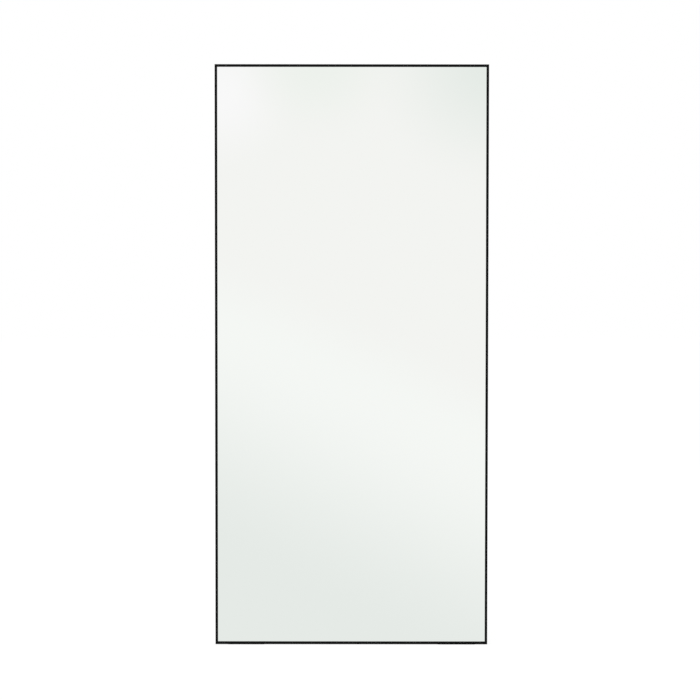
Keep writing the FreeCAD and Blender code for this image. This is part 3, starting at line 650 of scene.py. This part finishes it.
# %% Wall bumpers
bumpers_low, bumpers_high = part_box("wall_bumpers")
bumper_height = bumpers_high.y - rear
bumper_inset = 100 * MM
stem = (rear - bumpers_low.y) / MM
skirt = [(4.1, -stem), (4.7, 0.7 - stem), (4.75, 0), (7.6, 0), (7.9, 0.12), (8.0, 0.5), (7.93, 0.9),
         (7.78, 1.25)]
crown = [(6.05, -1.1), (5.92, -0.65), (5.68, -0.28), (5.32, -0.06), (4.95, 0), (4.15, 0), (3.9, -0.08),
         (3.7, -0.3)]
dish = [(3.55, -0.6), (3.3, -0.8), (2.9, -0.88), (0.6, -0.9)]
rings = [(radius * MM, level * MM) for radius, level in skirt]
rings += [(radius * MM, bumper_height + level * MM) for radius, level in crown + dish]
mesh = grow(grid_tree, ring_stack("bumper", rings), Columns=2, Rows=2, Width=width - 2 * bumper_inset,
            Height=height - band, Place=(0, rear, middle), Turn=rearward, Finish=rubber)
finish_piece("wall_bumpers_moulded", mesh, ["wall_bumpers"])

# %% [markdown]
# ## Spring clips
# Each clip is a strip of spring steel, bowed so that its ends press on the board and its crown on the
# channel. The bow is a rule, so a small tree bends a flat grid, gives it its thickness and closes it.

# %% The clip tree
clip_tree, given = new_tree("bowed_strip", Length="length", Width="length", Rise="length", Thickness="length",
                            Finish="material")
flat = add(clip_tree, "GeometryNodeMeshGrid",
           {"Size X": given["Length"], "Size Y": given["Width"], "Vertices X": 29, "Vertices Y": 2})
at = places_in(clip_tree)
share = result_of(clip_tree, "DIVIDE", at["X"], result_of(clip_tree, "MULTIPLY", given["Length"], 0.5))
sag = result_of(clip_tree, "SUBTRACT", 1.0, result_of(clip_tree, "MULTIPLY", share, share))
lift = add(clip_tree, "ShaderNodeCombineXYZ", {"Z": result_of(clip_tree, "MULTIPLY", sag, given["Rise"])})
bowed = add(clip_tree, "GeometryNodeSetPosition",
            {"Geometry": flat.outputs["Mesh"], "Offset": lift.outputs[0]})
closed = closed_slab(clip_tree, bowed.outputs[0], {"Offset": (0, 0, 1), "Offset Scale": given["Thickness"]})
end_tree(clip_tree, closed, given["Finish"])
print(clip_tree.name, len(clip_tree.nodes), "nodes")

# %% Spring clips
clip_width, clip_showing = 11 * MM, 3.5 * MM
first_on_stile, first_on_rail = 170 * MM, 210 * MM
inset = band + clip_showing - clip_width / 2
upright_strip = (math.radians(-90), math.radians(90), 0)
centre = (0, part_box("spring_clips")[0].y, middle)
strip = grow(clip_tree, bpy.data.meshes.new("empty"), Length=42 * MM, Width=clip_width, Rise=1.95 * MM,
             Thickness=0.5 * MM, Finish=spring)
on_stiles = grow(grid_tree, strip.copy(), Columns=2, Rows=4, Width=width - 2 * inset,
                 Height=height - 2 * first_on_stile, Place=centre, Turn=upright_strip, Finish=spring)
on_rails = grow(grid_tree, strip.copy(), Columns=2, Rows=2, Width=width - 2 * first_on_rail,
                Height=height - 2 * inset, Place=centre, Turn=rearward, Finish=spring)
finish_piece("spring_clips_bowed", joined("clips", on_stiles, on_rails), ["spring_clips"],
             edge=0.12 * MM)

# %% [markdown]
# ## Hanging rings
# Each ring is a closed loop of round wire. A tree draws the rectangle that the wire's centre follows,
# rounds its corners, and sweeps a circle along it. The rings swing, so each rides on a body of its own.

# %% The ring tree
ring_tree, given = new_tree("bent_wire_ring", Width="length", Drop="length", Bend="length", Wire="length",
                            Place="vector", Finish="material")
loop = add(ring_tree, "GeometryNodeCurvePrimitiveQuadrilateral",
           {"Width": given["Width"], "Height": given["Drop"]})
bent = add(ring_tree, "GeometryNodeFilletCurve",
           {"Curve": loop.outputs[0], "Count": 12, "Radius": given["Bend"]}, mode="POLY")
round_wire = add(ring_tree, "GeometryNodeCurvePrimitiveCircle",
                 {"Resolution": 28, "Radius": result_of(ring_tree, "MULTIPLY", given["Wire"], 0.5)})
swept = add(ring_tree, "GeometryNodeCurveToMesh",
            {"Curve": bent.outputs[0], "Profile Curve": round_wire.outputs[0]})
placed = add(ring_tree, "GeometryNodeTransform",
             {"Geometry": swept.outputs[0], "Translation": given["Place"], "Rotation": STAND_UP})
end_tree(ring_tree, placed.outputs[0], given["Finish"])
print(ring_tree.name, len(ring_tree.nodes), "nodes")

# %% Hanging rings
for side in ("left", "right"):
    node = "hanging_ring_" + side
    low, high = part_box(node)
    wire = high.y - low.y
    mesh = grow(ring_tree, bpy.data.meshes.new("empty"), Width=high.x - low.x - wire,
                Drop=high.z - low.z - wire, Bend=2.1 * MM, Wire=wire, Place=(low + high) / 2, Finish=zinc)
    finish_piece(node + "_wire", mesh, [node], body=node)

# %% [markdown]
# ## Straps, plates and nuts
# These were cut and folded from steel plate, and the CAD model has their true shape. A copy is joined up
# from its loose triangles, its flat areas are merged, and its edges are broken, as tumbling does before
# plating.

# %% Straps, plates and nuts
def softened_copy(node, material, edge):
    """Makes a piece of a copy of a CAD node, with its edges broken."""
    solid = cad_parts[node].data
    loose = bpy.data.meshes.new("loose")
    faces = [face.vertices for face in solid.polygons]
    loose.from_pydata([vertex.co for vertex in solid.vertices], [], faces)
    shape = bmesh.new()
    shape.from_mesh(loose)
    bmesh.ops.remove_doubles(shape, verts=shape.verts, dist=WELD)
    bmesh.ops.dissolve_limit(shape, angle_limit=math.radians(0.5), verts=shape.verts, edges=shape.edges)
    mesh = bpy.data.meshes.new(node + "_copy")
    shape.to_mesh(mesh)
    shape.free()
    mesh.materials.append(material)
    finish_piece(node + "_tumbled", mesh, [node], edge=edge)


corners = ("left_bottom", "right_bottom", "right_top", "left_top")
for corner in corners:
    softened_copy("corner_angle_" + corner, zinc, 0.25 * MM)
for side in ("left", "right"):
    softened_copy("hanger_strap_" + side, zinc, 0.18 * MM)
softened_copy("hanger_nuts", zinc, 0.25 * MM)

# %% [markdown]
# ## Pieces that keep their CAD shape
# The board, tape, film, blocks, spacers, shims and pads are plain shapes, and most are hidden. They keep
# the CAD mesh and get a finish.

# %% Finishes on CAD nodes
KEPT = {
    "backing_board": pressed_board, "glazing_tape": foam_and_rim_shade, "safety_film": film, "setting_blocks": rubber,
    "edge_spacers": rubber, "foot_pad_left": rubber, "foot_pad_right": rubber,
    **{"corner_shim_" + corner: zinc for corner in corners},
}
for node, material in KEPT.items():
    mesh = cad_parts[node].data
    mesh.materials.clear()
    mesh.materials.append(material)
print(len(KEPT), "nodes keep their CAD mesh")

# %% [markdown]
# ## The studio
# The mirror shows whatever stands in front of it, so most of the picture is really the studio. The world
# is white to the camera. To reflections it is a studio wall: nearly even above, then a faint light band
# along a slanting line, and a little darker and greener below it. The slanting line is one sum of height
# and side, and a colour ramp turns that sum into tones. Far to either side the wall slowly darkens, so
# that the glass shows a soft gradient from other angles too. Three soft patches of painted light and shade
# lie high up: a lamp's glow painted on the left, a dark corner of painted shade on the right, and a faint
# painted shade between them.

# %% Rays and shaders
def rays_in(tree):
    """Two answers: does the camera look, straight or through something clear, and is it a reflection?"""
    paths = add(tree, "ShaderNodeLightPath").outputs
    seen = result_of(tree, "MAXIMUM", paths["Is Camera Ray"], paths["Is Transmission Ray"])
    return seen, paths["Is Glossy Ray"]


def either(tree, answer, no, yes):
    """One shader or the other."""
    return add(tree, "ShaderNodeMixShader", {0: answer, 1: no.outputs[0], 2: yes.outputs[0]})


print("studio helpers ready")

# %% The world
world = bpy.data.worlds.new("studio")
scene.world = world
world.use_nodes = True
tree = world.node_tree
tree.nodes.clear()
look = add(tree, "ShaderNodeTexCoord").outputs["Generated"]
axis = add(tree, "ShaderNodeSeparateXYZ", {0: look}).outputs
SLANT = 0.47
slope = result_of(tree, "ADD", axis["Z"], result_of(tree, "MULTIPLY", axis["X"], SLANT))
ramp = add(tree, "ShaderNodeValToRGB", {0: spread(tree, slope, 0.0, 1.0, start=-1.0, stop=1.0)})
ramp.color_ramp.interpolation = "EASE"
LOWER, UPPER = (0.832, 0.855, 0.840), (0.951, 0.940, 0.934)
TONES = [(-1.0, (0.60, 0.63, 0.63)), (-0.2, LOWER), (-0.166, LOWER), (-0.052, (0.965, 0.967, 0.960)),
         (-0.0148, UPPER), (0.2, UPPER), (1.0, (0.80, 0.81, 0.82))]
stops = ramp.color_ramp.elements
while len(stops) < len(TONES):
    stops.new(0.5)
for stop, (place, tone) in zip(stops, TONES):
    stop.position = (place + 1) / 2
    stop.color = (*tone, 1)
print("tones on the studio wall:", len(stops))

# %% Patches of painted light and shade on the studio wall
def painted_patch(below, side, up, reach, colour, strength=1.0):
    """A soft round spot of another colour round one direction of the studio wall: painted light where the
    colour is lighter, painted shade where it is darker.
    """
    away = add(tree, "ShaderNodeVectorMath", {0: look, 1: Vector((side, -1, up)).normalized()},
               operation="DISTANCE").outputs["Value"]
    fade = spread(tree, away, strength, 0.0, start=0.0, stop=reach, interpolation_type="SMOOTHSTEP")
    return blend_of(tree, fade, below, colour)


# Painted light: a lamp's glow. Painted shade: a faint shade, then a dark corner.
studio = painted_patch(ramp.outputs[0], -0.064, 0.088, 0.040, (1.0, 0.978, 1.0))
studio = painted_patch(studio, -0.016, 0.108, 0.045, (0.88, 0.91, 0.875), 0.8)
studio = painted_patch(studio, 0.072, 0.108, 0.070, (0.82, 0.855, 0.83))
seen, mirrored = rays_in(tree)
plain = add(tree, "ShaderNodeBackground", {"Color": (1, 1, 1, 1), "Strength": 0.82})
wall_seen = add(tree, "ShaderNodeBackground", {"Color": studio, "Strength": 1.0})
white = add(tree, "ShaderNodeBackground", {"Color": (1, 1, 1, 1), "Strength": 1.0})
final = either(tree, seen, either(tree, mirrored, plain, wall_seen), white)
add(tree, "ShaderNodeOutputWorld", {0: final.outputs[0]})
print("world nodes:", len(tree.nodes))

# %% [markdown]
# ## The floor
# The floor is plain and white, like the background, so no horizon shows. To the camera it is mostly its
# own even white, with a share of real light on top, and that share goes missing where the object shades
# it: this leaves a soft shadow under the frame. Reflections pass through it to the studio wall.

# %% The floor
mesh = bpy.data.meshes.new("floor")
reach = 30
mesh.from_pydata([(-reach, -reach, 0), (reach, -reach, 0), (reach, reach, 0), (-reach, reach, 0)], [],
                 [(0, 1, 2, 3)])
floor = object_of("floor", mesh)
floor_white = bpy.data.materials.new("floor_white")
floor_white.use_nodes = True
tree = floor_white.node_tree
tree.nodes.clear()
seen, mirrored = rays_in(tree)
matte = add(tree, "ShaderNodeBsdfDiffuse", {"Color": (0.9, 0.9, 0.9, 1)})
glow = add(tree, "ShaderNodeEmission", {"Color": (1, 1, 1, 1), "Strength": 0.84})
clear = add(tree, "ShaderNodeBsdfTransparent")
thin_matte = add(tree, "ShaderNodeBsdfDiffuse", {"Color": (0.2, 0.2, 0.2, 1)})
half_lit = add(tree, "ShaderNodeAddShader", {0: thin_matte.outputs[0], 1: glow.outputs[0]})
final = either(tree, mirrored, either(tree, seen, matte, half_lit), clear)
add(tree, "ShaderNodeOutputMaterial", {0: final.outputs[0]})
mesh.materials.append(floor_white)
print("floor ready")

# %% [markdown]
# ## Two lamps
# One large soft lamp stands in front on the left, and one behind on the right. Both are high up and face
# the mirror's middle, so the coat, the plated steel and the board get soft highlights on either side.

# %% Two soft lamps
LAMP_SIZE, LAMP_AIM = 2.4, Vector((0, 0, 0.9))


def soft_lamp(name, spot, power):
    """A square lamp that faces the mirror."""
    light = bpy.data.lights.new(name, "AREA")
    light.shape = "SQUARE"
    light.size = LAMP_SIZE
    light.energy = power
    lamp = object_of(name, light)
    lamp.location = spot
    lamp.rotation_euler = (LAMP_AIM - Vector(spot)).to_track_quat("-Z", "Y").to_euler()


soft_lamp("key_lamp", (-3.2, -3.6, 3.4), power=70)
soft_lamp("back_lamp", (3.0, 3.8, 3.2), power=60)
print("lamps ready")

# %% [markdown]
# ## The camera
# The photograph looks straight at the mirror from a little above its middle: its top edge is one part in
# a hundred wider than its bottom edge, which at about 6 m is a camera tipped down by 2.2 degrees. It is
# also rolled by a twentieth of a degree. The lens follows from how many of the picture's pixels the
# frame's height covers, and a small shift puts the frame where it is in the photograph.

# %% The camera
distance, tip, roll = 6.0, math.radians(2.2), math.radians(0.05)
frame_pixels, image_pixels = 580, 700
shift_right, shift_up = -1.6, 5.8
sensor = 36
lens = bpy.data.cameras.new("camera")
camera = object_of("camera", lens)
aim = Vector((0, front, middle))
camera.location = aim + distance * Vector((0, -math.cos(tip), math.sin(tip)))
camera.rotation_euler = (aim - camera.location).to_track_quat("-Z", "Y").to_euler()
camera.rotation_euler.rotate_axis("Z", roll)
lens.sensor_width = sensor
lens.lens = sensor * frame_pixels / image_pixels * distance / (height * math.cos(tip))
lens.shift_x, lens.shift_y = shift_right / image_pixels, shift_up / image_pixels
scene.camera = camera
scene.view_settings.view_transform = "Standard"
print(f"lens {lens.lens:.1f} mm")
